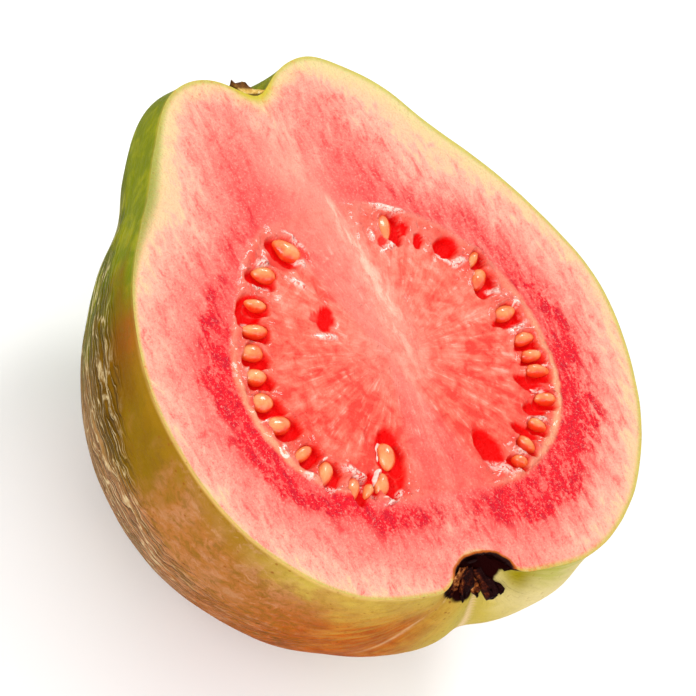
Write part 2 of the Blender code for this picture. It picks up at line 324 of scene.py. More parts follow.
# streaks that run outwards from the origin of Vector, as fibres do in flesh
def makeFibreGroup():
    tree, s, source, target = newGroup("fibreStreaks", "Mask", Spokes=12.0, Stretch=0.15, Detail=4.0)
    flat = s.vector("MULTIPLY", source["Vector"], (1, 1, 0))
    spokes = s.vector("MULTIPLY", s.vector("NORMALIZE", flat), source["Spokes"])
    along = s.add("ShaderNodeCombineXYZ")
    s.put(along.inputs["Z"], s.times(s.vector("LENGTH", flat), source["Stretch"]))
    joined = s.vector("ADD", spokes, along.outputs[0])
    s.put(target, s.noise(joined, 1, source["Detail"], 0.6))
    return tree


# fine grain of plant tissue, as a height from 0 to 1
def makeGrainGroup():
    tree, s, source, target = newGroup("tissueGrain", "Height", Fine=2.5, Coarse=0.6)
    fine = s.noise(source["Vector"], source["Fine"])
    coarse = s.noise(source["Vector"], source["Coarse"], 4)
    s.put(target, s.weigh(fine, 0.45, coarse, 0.55))
    return tree


fibreGroup = makeFibreGroup()
grainGroup = makeGrainGroup()


fleshLook = {
    "cream": (0.83, 0.49, 0.29), "rimGreen": (0.46, 0.43, 0.05), "rimPale": (0.66, 0.60, 0.25),
    "pale": (0.84, 0.39, 0.285), "pink": (0.84, 0.24, 0.185), "mid": (0.82, 0.125, 0.105),
    "deep": (0.72, 0.004, 0.016), "fleck": (0.90, 0.47, 0.36), "shade": (0.66, 0.04, 0.045),
    "coral": (0.84, 0.15, 0.095), "coralPale": (0.86, 0.31, 0.22), "coralRed": (0.80, 0.045, 0.028),
    "core": (0.83, 0.27, 0.20), "streak": (0.87, 0.50, 0.37), "wall": (0.94, 0.42, 0.22),
    "hollow": (0.80, 0.001, 0.001), "gleam": (1.0, 0.74, 0.64), "paintedGlint": (0.93, 0.46, 0.37),
    "pitShadow": (0.012, 0.0008, 0.0008), "dryRimAndPitShade": (0.46, 0.10, 0.010), "stemEdge": (0.56, 0.44, 0.03),
    "rimDark": (0.20, 0.25, 0.008), "crimson": (0.44, 0.0008, 0.020),
}


def makeFleshMaterial():
    look = fleshLook
    material, s, inputs = newMaterial(
        "guavaFlesh", 0.34, Subsurface_Weight=0.12, Subsurface_Scale=0.0015,
        Subsurface_Radius=(1.0, 0.32, 0.22), Coat_Roughness=0.07, IOR=1.36, Specular_IOR_Level=0.12)
    p = s.place(toFrame(np.array([*fleshCentre, 0])))
    rimDepth, wallDepth, arc, hollow, gleam, dryRimAndPitShade = map(
        s.attribute, ("rimDepth", "wallDepth", "arc", "hollow", "gleam", "dryRimAndPitShade"))
    broad = s.noise(p, 0.14, 4, 0.55)
    mottle = s.noise(p, 0.55, 5, 0.62, 0.5)
    strands = s.noise(s.vector("MULTIPLY", p, (1, 0.38, 1)), 0.62, 6, 0.66, 0.6)
    flecks, rays, fibres, threads = (
        s.group(fibreGroup, Vector=p, Spokes=count, Stretch=stretch, Detail=detail)
        for count, stretch, detail in ((58, 1.7, 3), (11, 0.55, 5), (7, 0.10, 4), (24, 0.16, 3)))

    # from the rim inwards: thin green line, cream, pale pink, pink
    wander = s.sway(strands, 20, s.sway(mottle, 4, s.sway(broad, 7, rimDepth)))
    wander = s.maths("SUBTRACT", wander, s.attribute("paleness"))
    outer = s.ramp(s.maths("DIVIDE", wander, 15), (
        (0, look["cream"]), (0.06, look["cream"]), (0.21, look["pale"]), (0.50, look["pink"]),
        (1, look["mid"])))
    greenish = s.times(s.remap(s.sway(mottle, 5, rimDepth), 4.2, 0.3, 0, 0.85), s.attribute("greenRim"))
    outer = s.mix(greenish, outer, look["rimPale"])
    rimLine = s.remap(s.maths("DIVIDE", rimDepth, s.attribute("rimWidth")), 0.1, 1.1, 0.8, 0)
    outer = s.mix(rimLine, outer, s.mix(s.attribute("rimDark"), look["rimGreen"], look["rimDark"]))

    # deep red mottling just outside the cavity wall
    patches = s.sway(s.noise(p, 1.7, 3, 0.6), 0.35, s.weigh(rays, 0.35, strands, 0.65))
    patches = s.scaleAdd(s.remap(patches, 0.40, 0.58), 0.95, 0.26)
    deepness = s.maths("MINIMUM", s.times(s.attribute("redness"), patches), 1)
    outer = s.mix(deepness, outer, look["deep"])
    blots = s.weigh(strands, 0.6, s.noise(p, 1, 4, 0.7, 1.2), 0.5)
    outer = s.mix(s.times(s.remap(blots, 0.55, 0.66, 0, 0.75), deepness), outer, look["crimson"])
    drawn = s.times(s.remap(strands, 0.54, 0.70, 0, 0.42), s.remap(wander, 3, 9))
    outer = s.mix(drawn, outer, look["deep"])

    # short pale and dark flecks where the knife crossed the fibres
    crossed = s.weigh(flecks, 0.35, s.noise(p, 3.3, 3, 0.65, 0.8), 0.65)
    light = s.times(s.remap(crossed, 0.52, 0.64), s.remap(wander, 0, 7, 0.16, 0.36))
    outer = s.mix(light, outer, look["fleck"])
    dark = s.times(s.remap(crossed, 0.48, 0.37), s.remap(wander, 0, 7, 0.14, 0.50))
    outer = s.mix(dark, outer, look["shade"])

    # the pulp inside the wall, with soft fibres that run out from the core
    spread = s.remap(s.vector("LENGTH", p), 2, 13, 0.15, 1)
    streams = s.times(s.maths("SUBTRACT", s.weigh(threads, 0.30, fibres, 0.85), 0.575), spread)
    tone = s.sway(mottle, 1, s.weigh(streams, 1.15, broad, 0.6))
    tone = s.maths("ADD", tone, s.attribute("glow"))
    pulp = s.ramp(tone, ((0.02, look["coralRed"]), (0.28, look["coral"]), (0.62, look["coralPale"])))
    seedBand = s.times(s.remap(wallDepth, 8.5, 2.5), s.remap(wallDepth, -0.8, 0.3), arc)
    pulp = s.mix(s.times(seedBand, 0.4), pulp, look["coralRed"])
    inside = s.times(s.remap(wallDepth, -0.5, 0.8), s.scaleAdd(arc, 0.6, 0.4))
    colour = s.mix(inside, outer, pulp)

    # pale wall, core and streak
    offWall = s.maths("ABSOLUTE", s.sway(mottle, 1.2, wallDepth))
    wallLine = s.times(s.remap(offWall, 0.1, 1, 0.85, 0), s.attribute("wallTone"))
    colour = s.mix(wallLine, colour, look["wall"])
    coreTone = s.times(s.attribute("core"), s.remap(mottle, 0.30, 0.60, 0.55, 1))
    colour = s.mix(coreTone, colour, look["core"])
    streakTone = s.times(s.attribute("streak"), s.remap(strands, 0.42, 0.60, 0.25, 1))
    colour = s.mix(streakTone, colour, look["streak"])
    # painted highlights: thin pale glints along the pulp's fibres
    paintedGlints = s.times(s.remap(threads, 0.54, 0.68), s.remap(mottle, 0.46, 0.62),
                     s.remap(wallDepth, 3, 9), 0.5)
    colour = s.mix(paintedGlints, colour, look["paintedGlint"])

    # hollows, pale wet membranes and arcs with painted highlights, the stalk's edge, and the crater's rim
    # painted brown to near-black as dry tissue and painted shade
    colour = s.mix(hollow, colour, look["hollow"])
    # pale membranes and highlight arcs: partly the membranes' colour, partly painted highlights
    paintedGleam = s.times(gleam, s.remap(s.noise(p, 1.5, 4, 0.65, 1), 0.42, 0.52))
    paintedGleam = s.maths("MAXIMUM", paintedGleam, s.remap(s.attribute("juice"), 0.25, 0.6))
    colour = s.mix(s.times(paintedGleam, 0.85), colour, look["gleam"])
    colour = s.mix(s.attribute("stemEdge"), colour, look["stemEdge"])
    brownAndShade = s.mix(s.remap(dryRimAndPitShade, 0.45, 0.75), look["dryRimAndPitShade"], look["pitShadow"])
    s.put(inputs["Base Color"], s.mix(s.remap(dryRimAndPitShade, 0.05, 0.45), colour, brownAndShade))

    wet = s.maths("MAXIMUM", s.times(seedBand, 0.6), gleam)
    wet = s.maths("MAXIMUM", wet, s.times(s.remap(wallDepth, 1, 4), 0.30))
    wet = s.times(wet, s.maths("SUBTRACT", 1, hollow))
    s.put(inputs["Coat Weight"], wet)
    s.put(inputs["Roughness"], s.scaleAdd(mottle, 0.16, 0.30))
    normal = s.bump(s.group(grainGroup, Vector=p, Fine=3.3, Coarse=1.1), 0.6, 0.0007)
    normal = s.bump(flecks, 0.35, 0.0006, Normal=normal)
    normal = s.bump(threads, 0.20, 0.0006, Normal=normal)
    ripples = s.times(s.noise(p, 1.1, 3, 0.6, 1), s.scaleAdd(wet, 0.65, 0.10))
    s.put(inputs["Normal"], s.bump(ripples, 0.8, 0.0012, Normal=normal))
    return material


skinLook = {
    "green": (0.14, 0.165, 0.002), "olive": (0.19, 0.102, 0.003), "tan": (0.35, 0.125, 0.028),
    "rosy": (0.37, 0.150, 0.056), "umber": (0.26, 0.105, 0.012), "gold": (0.53, 0.35, 0.055),
    "stain": (0.175, 0.085, 0.006), "paleTan": (0.48, 0.24, 0.12), "brownAndShade": (0.135, 0.052, 0.001),
    "lime": (0.50, 0.38, 0.065), "cream": (0.76, 0.62, 0.30), "rust": (0.32, 0.050, 0.003),
    "orange": (0.44, 0.090, 0.004), "under": (0.25, 0.125, 0.005), "edge": (0.72, 0.46, 0.15),
    "speck": (0.22, 0.06, 0.008), "crestHighlight": (0.58, 0.46, 0.25), "spot": (0.30, 0.065, 0.008),
    "crease": (0.88, 0.62, 0.38), "deepGreen": (0.31, 0.235, 0.003), "dark": (0.055, 0.060, 0.006),
    "fresh": (0.34, 0.35, 0.025), "leaf": (0.27, 0.27, 0.006),
}


def makeSkinMaterial():
    look = skinLook
    material, s, inputs = newMaterial("guavaSkin", 0.5, IOR=1.38, Specular_IOR_Level=0.012)
    p = s.place(axisPoint)
    flow = s.attribute("flow", "Vector")
    station, turn, below, wrinkle = map(s.attribute, ("station", "turn", "below", "wrinkle"))
    medium = s.noise(p, 0.22, 5, 0.6, 0.4)
    fine = s.noise(p, 1.1, 4, 0.6)
    streaks = s.noise(flow, 1, 4, 0.55, 0.25)
    drift = s.sway(medium, 24, s.sway(s.noise(p, 0.055, 4, 0.6, 0.3), 50, station))
    swirl = s.sway(medium, 30, turn)
    lobe = s.remap(station, 105, 130)

    # green by the stalk, olive, tan flank, gold, then pale green on the lobe beyond the valley
    colour = s.mix(s.remap(medium, 0.42, 0.66, 0, 0.8), look["green"], look["leaf"])
    colour = s.mix(s.remap(drift, 56, 76), colour, look["olive"])
    flank = s.mix(s.remap(medium, 0.45, 0.62), look["tan"], look["rosy"])
    flank = s.mix(s.remap(s.noise(p, 0.21, 6, 0.68, 0.6), 0.50, 0.64, 0, 0.65), flank, look["umber"])
    colour = s.mix(s.remap(drift, 92, 112), colour, flank)
    colour = s.mix(s.remap(drift, 142, 160), colour, look["gold"])
    colour = s.mix(s.times(s.remap(swirl, 100, 76), lobe), colour, look["lime"])
    colour = s.mix(s.times(s.remap(swirl, 62, 20), lobe), colour, look["cream"])
    blush = s.times(s.remap(streaks, 0.32, 0.62, 0.55, 1), s.attribute("blush"))
    colour = s.mix(blush, colour, s.mix(s.remap(medium, 0.36, 0.60), look["rust"], look["orange"]))
    reach = s.remap(drift, 104, 124, 5.5, 9.5)
    underRim = s.times(s.remap(s.sway(medium, 13, below), reach, 0.8), s.remap(drift, 72, 90),
                       s.remap(drift, 150, 135, 0.25, 0.85))
    colour = s.mix(underRim, colour, s.mix(s.remap(drift, 116, 142), look["under"], look["lime"]))
    edging = s.times(s.remap(below, 0.9, 0, 0, 0.7), s.remap(drift, 80, 105, 0.3, 1))
    colour = s.mix(edging, colour, look["edge"])
    fresh = s.times(s.attribute("fresh"), s.remap(streaks, 0.35, 0.62, 0.5, 1))
    colour = s.mix(fresh, colour, look["fresh"])
    for mark in ("spot", "deepGreen", "crease"):
        colour = s.mix(s.attribute(mark), colour, look[mark])

    # painted shade in the furrows between the wrinkles, a net of long thin crests
    pushed = s.vector("MULTIPLY_ADD", s.noise(p, 0.24, 2, output="Color"), (1.5, 0.7, 0), flow)
    net = s.cells(s.vector("MULTIPLY", pushed, (1.75, 0.85, 1)), 1, "DISTANCE_TO_EDGE")
    furrowShade = s.times(wrinkle, s.remap(net, 0.06, 0.36, 0, 0.62), s.remap(drift, 82, 108, 1, 0.22))
    colour = s.mix(furrowShade, colour, look["dark"])

    # painted light low on the flank by the silhouette, a brown band under the rim that is partly painted
    # shade, stains and paler clouds
    paintedSideLight = s.times(s.remap(turn, 161, 148), s.remap(drift, 60, 84), s.remap(turn, 84, 124, 0, 0.65),
                  s.remap(drift, 120, 104))
    colour = s.mix(paintedSideLight, colour, look["paleTan"])
    # darker brown just under the rim on the left: partly the skin's colour, partly painted shade
    brownAndShade = s.times(s.remap(turn, 153, 161), s.remap(turn, 178, 173.5), s.remap(drift, 46, 62),
                    s.remap(drift, 96, 80, 0, 0.65))
    colour = s.mix(brownAndShade, colour, look["brownAndShade"])
    blotch = s.weigh(streaks, 0.35, s.noise(p, 0.62, 6, 0.70, 0.9), 0.65)
    stained = s.times(s.remap(blotch, 0.48, 0.60, 0, 0.62), s.remap(drift, 52, 74),
                      s.remap(drift, 152, 132, 0.35, 1), s.remap(swirl, 70, 104, 0.3, 1),
                      s.remap(underRim, 0.1, 0.7, 1, 0.15))
    colour = s.mix(stained, colour, look["stain"])
    paleTan = s.times(s.remap(blotch, 0.49, 0.38, 0, 0.45), s.remap(drift, 98, 116),
                    s.remap(drift, 148, 130))
    colour = s.mix(paleTan, colour, look["paleTan"])

    # tone, specks, painted highlights on the crests of the wrinkles, and the crater painted near-black as
    # shade
    colour = s.mix(0.7, colour, s.remap(streaks, 0.30, 0.70, 0.93, 1.05), "MULTIPLY")
    specks = s.times(s.remap(s.cells(p, 0.75), 0.08, 0.25, 1, 0), s.remap(fine, 0.42, 0.6),
                     s.remap(drift, 70, 110), s.remap(swirl, 60, 100, 0.4, 1), 0.75)
    colour = s.mix(specks, colour, look["speck"])
    crestHighlights = s.times(s.remap(net, 0.01, 0.075, 1, 0), s.remap(wrinkle, 0.03, 0.85),
                     s.remap(fine, 0.36, 0.58, 0.15, 1), 0.78)
    colour = s.mix(crestHighlights, colour, look["crestHighlight"])
    colour = s.mix(s.remap(s.attribute("dryRimAndPitShade"), 0.1, 0.7), colour, fleshLook["pitShadow"])
    s.put(inputs["Base Color"], colour)
    s.put(inputs["Roughness"], s.scaleAdd(fine, 0.25, 0.36))

    relief = s.scaleAdd(s.remap(net, 0, 0.34, 1, 0), wrinkle, s.times(streaks, 0.12))
    pores = s.weigh(s.noise(p, 3, 3, 0.6), 0.3, fine, 0.7)
    s.put(inputs["Normal"], s.bump(pores, 0.35, 0.0009, Normal=s.bump(relief, 0.8, 0.004)))
    return material


# stops of a colour ramp, from dark to light
dryLook = {
    "seed": ((0.0, (0.78, 0.05, 0.01)), (0.25, (0.86, 0.15, 0.035)), (0.55, (0.90, 0.26, 0.08)),
             (0.95, (0.92, 0.40, 0.17))),
    "bark": ((0.30, (0.035, 0.012, 0.002)), (0.52, (0.16, 0.055, 0.006)), (0.75, (0.42, 0.24, 0.04))),
    "wood": ((0.30, (0.50, 0.24, 0.03)), (0.55, (0.78, 0.50, 0.12)), (0.72, (0.92, 0.76, 0.42))),
    "calyx": ((0.10, (0.012, 0.001, 0.001)), (0.36, (0.075, 0.010, 0.003)), (0.62, (0.30, 0.075, 0.012)),
              (0.92, (0.78, 0.30, 0.09))),
}


def makeSeedMaterial():
    material, s, inputs = newMaterial(
        "seedCoat", 0.22, Subsurface_Weight=0.25, Subsurface_Scale=0.0015,
        Subsurface_Radius=(1.0, 0.5, 0.25), Coat_Weight=0.6, Coat_Roughness=0.06, IOR=1.45)
    p = s.place()
    tone = s.scaleAdd(s.attribute("tip"), 0.35, 0.3)
    tone = s.sway(s.noise(p, 0.45, 4, 0.6), 1.5, tone)
    # darker red towards the gap and underneath, partly painted shade
    tone = s.scaleAdd(s.attribute("juiceAndShade"), -0.55, tone)
    s.put(inputs["Base Color"], s.ramp(tone, dryLook["seed"]))
    grain = s.group(grainGroup, Vector=p, Fine=4, Coarse=1.2)
    s.put(inputs["Normal"], s.bump(grain, 0.25, 0.0004))
    return material


def makeStalkMaterial():
    material, s, inputs = newMaterial("stalkWood", 0.6, Specular_IOR_Level=0.15)
    p = s.place(axisPoint)
    ageing = s.noise(p, 1.1, 5, 0.65, 0.4)
    bark, wood = (s.ramp(ageing, dryLook[name]) for name in ("bark", "wood"))
    s.put(inputs["Base Color"], s.mix(s.attribute("cut"), bark, wood))
    grain = s.group(grainGroup, Vector=p, Fine=4, Coarse=1.5)
    s.put(inputs["Normal"], s.bump(grain, 0.8, 0.0010))
    return material


def makeCalyxMaterial():
    material, s, inputs = newMaterial("dryCalyx", 0.55, Specular_IOR_Level=0.05)
    p = s.place(axisPoint)
    tone = s.sway(s.noise(p, 1.4, 5, 0.65, 0.4), 1.9, s.attribute("tone"))
    s.put(inputs["Base Color"], s.ramp(tone, dryLook["calyx"]))
    grain = s.group(grainGroup, Vector=p, Fine=4.5, Coarse=1.6)
    s.put(inputs["Normal"], s.bump(grain, 0.7, 0.0010))
    return material


fleshMaterial = makeFleshMaterial()
skinMaterial = makeSkinMaterial()
seedMaterial = makeSeedMaterial()
stalkMaterial = makeStalkMaterial()
calyxMaterial = makeCalyxMaterial()
print("materials made")


seedLook = {
    "segments": 28, "rings": 20, "plump": 1.06, "bend": 0.10, "dent": 0.09, "sink": 0.38,
    "taper": (0.14, 0.08), "roll": 9,
}


# where a CAD seed lies: centre, heading of its point, length, width and height, in mm
def readSeed(name):
    co = np.array([v.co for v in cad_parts[name].data.vertices])
    co = fromFrame(np.unique(co.round(7), axis=0))
    low, high = co.min(0), co.max(0)
    flat = co[:, :2] - co[:, :2].mean(0)
    along = np.linalg.svd(flat, full_matrices=False)[2][0]
    across = np.array([-along[1], along[0]])
    u, v = flat @ along, flat @ across
    if np.abs(v[u > 0]).mean() > np.abs(v[u < 0]).mean():
        along, u = -along, -u
    middle = co[:, :2].mean(0) + along * (u.max() + u.min()) / 2
    return {"name": name, "x": middle[0], "y": middle[1], "z": (low[2] + high[2]) / 2,
            "heading": np.arctan2(along[1], along[0]), "length": np.ptp(u),
            "width": np.ptp(v), "height": high[2] - low[2]}


seeds = [readSeed(name) for name in sorted(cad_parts) if name.startswith("seed_")]
print(len(seeds), "seeds read")


def finishPiece(piece, material, slotName, *nodes):
    if material:
        piece.data.materials.append(material)
    piece.data.shade_smooth()
    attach(piece, "root")
    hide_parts(*nodes)
    return piece


def newObject(name, data):
    made = bpy.data.objects.new(name, data)
    bpy.context.scene.collection.objects.link(made)
    return made


def pieceFrom(bm, name):
    bm.normal_update()
    if bm.calc_volume(signed=True) < 0:
        bmesh.ops.reverse_faces(bm, faces=bm.faces)
    mesh = bpy.data.meshes.new(name)
    bm.to_mesh(mesh)
    bm.free()
    return newObject(name, mesh)


def moveToFrame(bm):
    for vert in bm.verts:
        vert.co = Vector(toFrame(np.array(vert.co)))


def setAttribute(mesh, name, values, kind="FLOAT", key="value"):
    made = mesh.attributes.new(name, kind, "POINT")
    made.data.foreach_set(key, np.ascontiguousarray(values, np.float32).ravel())


# the way outwards from the core at a seed, and the wet gap beside it, on its calyx side
def seedSides(seed):
    outward = np.arctan2(seed["y"] - fleshCentre[1], seed["x"] - fleshCentre[0])
    return outward, outward + (pi / 2 if seed["x"] < 0 else -pi / 2)


def makeSeed(seed, number):
    bm = bmesh.new()
    bmesh.ops.create_uvsphere(bm, u_segments=seedLook["segments"], v_segments=seedLook["rings"], radius=1.0)
    bmesh.ops.rotate(bm, verts=bm.verts, matrix=Matrix.Rotation(pi / 2, 3, "Y"))
    tips = []
    juiceAndShade = []
    bend = seedLook["bend"] * (1 if number % 2 else -1)
    gap = seedSides(seed)[1] - seed["heading"]
    for vert in bm.verts:
        x, y, z = vert.co
        tips.append(0.5 + 0.5 * x)
        # darker red towards the wet gap and underneath: juice on the gap side, painted shade underneath
        juiceAndShade.append(blendStep(-0.1, 1.0, x * 0.5 * cos(gap) + y * sin(gap) - 0.35 * z))
        taper = 1 - seedLook["taper"][0] * x - seedLook["taper"][1] * x * x
        dent = 1 + seedLook["dent"] * noiseOf(x * 1.6, y * 1.6, z * 1.6 + number * 3.1)
        vert.co.x = x * seed["length"] / 2
        vert.co.y = (y * taper * dent + bend * (1 - x * x)) * seed["width"] / 2 * seedLook["plump"]
        vert.co.z = z * taper * dent * seed["height"] / 2 * seedLook["plump"]
    roll = radians(seedLook["roll"] * noiseOf(number * 1.7, 0.3, 0))
    bm.transform(Matrix.Translation((seed["x"], seed["y"], seed["z"] - seedLook["sink"]))
                 @ Matrix.Rotation(seed["heading"], 4, "Z") @ Matrix.Rotation(roll, 4, "X"))
    moveToFrame(bm)
    piece = pieceFrom(bm, f"guavaSeed_{number:02d}")
    setAttribute(piece.data, "tip", tips)
    setAttribute(piece.data, "juiceAndShade", juiceAndShade)
    return finishPiece(piece, seedMaterial, "seed", seed["name"])


for number, seed in enumerate(seeds, 1):
    makeSeed(seed, number)
print("seeds made")


# 0 at an ellipse's centre, 1 on its edge
def ellipseReach(x, y, cx, cy, heading, length, width):
    dx, dy = x - cx, y - cy
    u = dx * np.cos(heading) + dy * np.sin(heading)
    v = dy * np.cos(heading) - dx * np.sin(heading)
    return np.sqrt((u / (length / 2)) ** 2 + (v / (width / 2)) ** 2), u, v


# how far inside the cavity's outer wall, in mm, and how much of a cavity there is
def cavityWall(x, y):
    cx, cy = cavity["centre"]
    angle = np.degrees(np.arctan2(y - cy, x - cx)) % 360
    steps = len(cavity["radii"])
    place = angle / 360 * steps
    i = np.floor(place).astype(int) % steps
    u = place - np.floor(place)
    before, here, after, later = (np.array(cavity["radii"])[(i + k) % steps] for k in (-1, 0, 1, 2))
    radius = here + 0.5 * u * (after - before + u * (
        2 * before - 5 * here + 4 * after - later + u * (3 * (here - after) + later - before)))
    arc = np.ones_like(angle)
    for at, wide in cavity["gaps"]:
        away = np.abs((angle - at + 180) % 360 - 180)
        arc *= blendStep(wide * 0.55, wide * 1.25, away)
    return radius - np.hypot(x - cx, y - cy), arc


# height of the cut face, in mm, with the marks that its finish reads
def faceRelief(x, y, points):
    wall, arc = cavityWall(x, y)
    band = blendStep(-0.2, 0.9, wall) * blendStep(7.5, 3.5, wall) * arc
    lumps = noiseAt(points, 0.55, 4.0)
    folds = noiseAt(points, 1.15, 9.0)
    height = band * (-0.10 + 0.38 * lumps + 0.28 * folds)
    height += 0.30 * bell(wall - 0.2, 0.8) * arc * (0.8 + lumps)
    height += 0.12 * noiseAt(points, 0.14, 2.0) * blendStep(0, 6, np.abs(wall))
    height += 0.10 * lumps * blendStep(4, 8, wall)
    gleam = np.zeros_like(x)
    for cx, cy, heading, length, width in gleams:
        reach, u, v = ellipseReach(x, y, cx, cy, radians(heading), length, width)
        gleam = np.maximum(gleam, blendStep(1.25, 0.6, reach * (1 + 0.25 * folds)))
    height += gleam * (0.28 + 0.14 * noiseAt(points, 1.6, 6.0))
    hollow = np.zeros_like(x)
    for cx, cy, heading, length, width, depth in hollows:
        reach, u, v = ellipseReach(x, y, cx, cy, radians(heading), length, width)
        reach = reach * (1 + 0.06 * folds + 0.08 * lumps)
        dip = blendStep(1.20, 0.60, reach)
        height = height * (1 - dip) - 0.6 * depth * dip * (1 - 0.25 * np.clip(reach, 0, 1) ** 2)
        strength = min(1.0, depth / 1.2)
        hollow = np.maximum(hollow, strength * blendStep(1.10, 0.88, reach) * (1 - 0.6 * gleam))
    for seed in seeds:
        outward, gap = seedSides(seed)
        reach, u, v = ellipseReach(x, y, seed["x"], seed["y"], seed["heading"],
                                   seed["length"] + 0.2, seed["width"] + 0.2)
        bearing = np.arctan2(y - seed["y"], x - seed["x"])
        gapness = blendStep(0.0, 0.85, np.cos(bearing - gap))
        cover = blendStep(0.0, 0.9, -np.cos(bearing - gap))
        tipness = blendStep(0.5, 1.0, np.cos(bearing - outward))
        edge = 0.88 + 1.15 * gapness - 0.10 * cover - 0.14 * tipness + 0.09 * folds + 0.05 * lumps
        dip = blendStep(edge + 0.12, edge - 0.14, reach)
        height = height * (1 - dip) - (1.0 + 0.4 * gapness) * dip
        height += (0.30 + 0.30 * cover + 0.12 * tipness) * bell(reach - edge - 0.20, 0.22) * (1 - gapness)
        rimmed = blendStep(edge + 0.08, edge - 0.10, reach) * blendStep(0.02, 0.45, gapness)
        socket = 0.9 * blendStep(edge + 0.08, edge - 0.06, reach)
        hollow = np.maximum(hollow * (1 - dip), np.maximum(rimmed, socket))
    # painted highlight arcs, each also raising a slight line
    juice = np.zeros_like(x)
    for cx, cy, heading, length, width, start, end in paintedGlintArcs:
        reach, u, v = ellipseReach(x, y, cx, cy, radians(heading), length, width)
        bearing = (np.degrees(np.arctan2(v, u)) - start) % 360
        part = blendStep(-1, 25, bearing) * blendStep(end - start + 1, end - start - 25, bearing)
        apart = np.abs(reach * (1 + 0.08 * folds) - 1) * width / 2
        juice = np.maximum(juice, blendStep(0.28, 0.06, apart) * part * (0.75 + 0.5 * lumps))
    height += 0.22 * juice
    return height, wall, arc, hollow, gleam, juice


# what the cut face shows at some directions from the cavity's centre: weight, direction, spread
faceMarks = {
    "sides": ((1, 228, 42), (1, 178, 26), (1, 300, 34), (1, 350, 24)),
    "redder": ((-0.75, 270, 16), (-0.9, 90, 18), (1.1, 297, 24)),
    "redShift": ((0.8, 296, 18),),
    "redWidth": ((1.0, 320, 60),),
    "paleness": ((4.3, 60, 22), (3.5, 130, 17), (-6.4, 272, 28), (-5.0, 90, 14), (-3.0, 185, 42)),
    "greenRim": ((0.9, 55, 26), (0.9, 124, 16), (0.7, 90, 18), (0.25, 0, 40)),
    "rimWidth": ((1.5, 131, 13), (-0.6, 205, 40)),
    "rimDark": ((1, 133, 20),),
    "wallTone": ((0.85, 335, 34), (0.65, 195, 26)),
}

# pale flesh along the axis: weight, x, spread, and the two ends of its fades along y
palePatches = (
    (5.6, 1.5, 9, 14, 25, 40, 32), (6.5, 1.0, 6, 14, 22, 33, 26), (4.5, 0, 7, -23, -29, -34, -31),
)
redderPulp = ((0.14, 16, -13, 8), (0.10, -11, -12, 7), (0.09, -12, 2, 7))        # weight, x, y, spread

# turn round the axis against the crater's rim, the crater's mouth on the cut face (place, half
# width, half length, depth), angle from the stem against the turn where the wrinkles end, and
# patches of colour (weight, turn, spread, angle from the stem, spread)
skinMarks = {
    "craterRim": ((0, 9, 20, 34, 50, 66, 105, 130, 180),
                  (168.9, 169.6, 172.0, 172.0, 170.6, 169.8, 169.8, 170.4, 170.6)),
    "craterMouth": (0.5, -40.0, 5.5, 3.6, 3.0),
    "wrinkleTop": ((25, 45, 60, 80, 100, 130, 150), (151, 160, 166, 167, 158, 146, 140)),
    "blush": (1.5, 128, 31, 148, 18),
    "deepGreen": (1, 14, 17, 167.5, 6.5),
    "fresh": (0.95, 8, 12, 159, 10),
}


